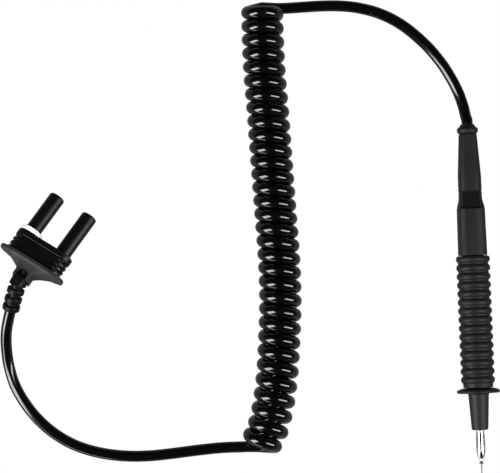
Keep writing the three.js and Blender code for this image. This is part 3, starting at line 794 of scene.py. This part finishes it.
plug_pieces = [
    finish_piece(soften(front_plate(), 0.3, 3), "plug_front_plate", "plug_plastic"),
    finish_piece(soften(housing(), 0.07), "plug_housing", "plug_plastic"),
    finish_piece(soften(rear_cover(), 0.3, 3), "plug_rear_cover", "cover_plastic"),
]
for label, side in (("left", -1), ("right", 1)):
    x = side * PIN_X
    tube = soften(turned(f"shroud_tube_{label}", shroud_outline(), PLUG, x), 0.1)
    plug_pieces.append(finish_piece(tube, f"shroud_{label}", "plug_plastic"))
    pin = soften(turned(f"pin_rod_{label}", pin_outline(), PLUG, x, 48), 0.1)
    plug_pieces.append(finish_piece(pin, f"pin_{label}", "nickel"))
    spring = spring_basket(
        f"pin_leaves_{label}", start=4, end=SHROUD_LENGTH - 3.9, collar_bore=1.45,
        max_radius=2.15, place=PLUG, x=x)
    plug_pieces.append(finish_piece(spring, f"pin_spring_{label}", "nickel", f"pin_basket_{label}"))
    route = ((9.5, -9.3), (8.8, -10.5), (4.6, -11.6), (1.4, -13.6), (1.1, -16.8))
    points = [Vector((side * a, y, 0)) for a, y in route]
    strand = wire(f"wire_{label}", smooth_path(points), STRAND_RADIUS, PLUG)
    plug_pieces.append(finish_piece(strand, f"plug_wire_{label}", "insulation"))
marker_outline = ring_outline(bore=4.2, radius=5.7, start=0.3, end=2.5)
marker = soften(turned("marker_band", marker_outline, PLUG, -PIN_X, 96), 0.3, 3)
plug_pieces.append(finish_piece(marker, "marker_ring", "marker_plastic", "marker"))

# ---- Boot: a tube with four square rings, bending from the neck to the cord ----
BOOT_RADIUS = 3
BOOT_RING_RADIUS = 4.25
BOOT_RING_WIDTH = 2.7
BOOT_RING_COUNT = 4
BOOT_SIDES = 64
RING_EDGE = 0.12  # the rings' edges are rounded in two short steps
RING_ROUND = 0.3


def boot():
    """The rings and the tube between them, skinned along the boot's bent centreline."""
    neck_middle = (NECK_START + NECK_END) / 2
    in_neck = [(NECK_START - 2.4, 1), (neck_middle, 0.8), (NECK_END, 0), (NECK_END + 2, 0)]
    points = [PLUG @ Vector((0, -back, rise)) / MM for back, rise in in_neck]
    path = smooth_path([*points, BOOT_TIP - BOOT_TIP_DIRECTION * 6, BOOT_TIP])
    lengths = lengths_along(path)
    total = lengths[-1]
    half = BOOT_RING_WIDTH / 2
    first = NECK_END - NECK_START + 3.2 + half
    pitch = (total - first - half) / (BOOT_RING_COUNT - 1)
    profile = [(0, 0.02), (0.1, 1.4), (0.5, 2.4), (1.3, BOOT_RADIUS)]
    for ring in range(BOOT_RING_COUNT):
        middle = first + ring * pitch
        start, end = middle - half, middle + half
        shoulder = BOOT_RING_RADIUS - RING_EDGE
        profile += [(start, BOOT_RADIUS), (start + RING_EDGE, shoulder)]
        profile += [(start + RING_ROUND, BOOT_RING_RADIUS), (end - RING_ROUND, BOOT_RING_RADIUS)]
        profile += [(end - RING_EDGE, shoulder), (end, BOOT_RADIUS)]
    profile[-1] = (total, BOOT_RADIUS)
    rows = []
    side = Vector((1, 0, 0))
    for at, radius in profile:
        place, along = point_at(path, lengths, at)
        side = (side - along * side.dot(along)).normalized()
        up = side.cross(along)
        turns = [2 * math.pi * i / BOOT_SIDES for i in range(BOOT_SIDES)]
        rows.append([place + radius * (side * math.cos(a) + up * math.sin(a)) for a in turns])
    return mesh_object("ringed_boot", *skin(rows, True), WORLD)


boot_piece = boot()
boot_piece.data.shade_smooth()
boot_piece.data.set_sharp_from_angle(angle=math.radians(40))
plug_pieces.append(finish_piece(boot_piece, "plug_boot", "boot_rubber"))

# ---- Floor, background and lights ----
FLOOR_DEPTH = -0.0003
FLOOR_REACH = 6
FLOOR_LIGHT = 0.32
WORLD_LIGHT = 0.03
SOFTBOX_DISTANCE = 1.2


def seen_and_cast(tree, seen, cast):
    """A strength that is one value where it is seen and another where it lights the object."""
    path = tree.nodes.new("ShaderNodeLightPath")
    spread = tree.nodes.new("ShaderNodeMapRange")
    spread.inputs["To Min"].default_value = cast
    spread.inputs["To Max"].default_value = seen
    tree.links.new(path.outputs["Is Camera Ray"], spread.inputs["Value"])
    return spread.outputs["Result"]


def white_floor():
    made = bpy.data.materials.new("floor_white")
    made.use_nodes = True
    tree = made.node_tree
    tree.nodes.remove(tree.nodes["Principled BSDF"])
    glow = tree.nodes.new("ShaderNodeEmission")
    tree.links.new(seen_and_cast(tree, 1.0, FLOOR_LIGHT), glow.inputs["Strength"])
    tree.links.new(glow.outputs["Emission"], tree.nodes["Material Output"].inputs["Surface"])
    return made


floor_corners = [
    (x * FLOOR_REACH, y * FLOOR_REACH, FLOOR_DEPTH) for x, y in ((-1, -1), (1, -1), (1, 1), (-1, 1))
]
floor = mesh_object("floor", floor_corners, [(0, 1, 2, 3)], Matrix.Identity(4))
floor.data.materials.append(white_floor())

world = bpy.data.worlds.new("studio")
bpy.context.scene.world = world
world.use_nodes = True
background = world.node_tree.nodes["Background"]
background.inputs["Color"].default_value = (1, 1, 1, 1)
world_strength = seen_and_cast(world.node_tree, 1.0, WORLD_LIGHT)
world.node_tree.links.new(world_strength, background.inputs["Strength"])


def softbox(name, bearing, tilt, width, length, watts, roll):
    """A soft box that faces the object, with its angles in degrees.

    The bearing goes from -x towards -y, the tilt is from straight above, and the roll is about
    the box's own axis.
    """
    data = bpy.data.lights.new(name, "AREA")
    data.shape = "RECTANGLE"
    data.size = width
    data.size_y = length
    data.energy = watts
    made = bpy.data.objects.new(name, data)
    lean, round_z = math.radians(tilt), math.radians(bearing)
    aim = (cad_box[0] + cad_box[1]) / 2
    flat = math.sin(lean)
    z_axis = Vector((-math.cos(round_z) * flat, -math.sin(round_z) * flat, math.cos(lean)))
    x_axis = Vector((-math.sin(round_z), math.cos(round_z), 0)).cross(z_axis)
    turn = Matrix((x_axis, z_axis.cross(x_axis), z_axis)).transposed().to_4x4()
    rolled = turn @ Matrix.Rotation(math.radians(roll), 4, "Z")
    made.matrix_world = Matrix.Translation(aim + z_axis * SOFTBOX_DISTANCE) @ rolled
    bpy.context.scene.collection.objects.link(made)


softbox("softbox_left", bearing=22, tilt=57, width=1.2, length=0.48, watts=25, roll=16)
softbox("softbox_right", bearing=161, tilt=49.5, width=1.1, length=0.32, watts=16, roll=-3)
softbox("softbox_low", bearing=56, tilt=85, width=0.1, length=0.85, watts=2.4, roll=0)

bpy.context.scene.view_settings.view_transform = "Standard"
bpy.context.scene.view_settings.look = "None"
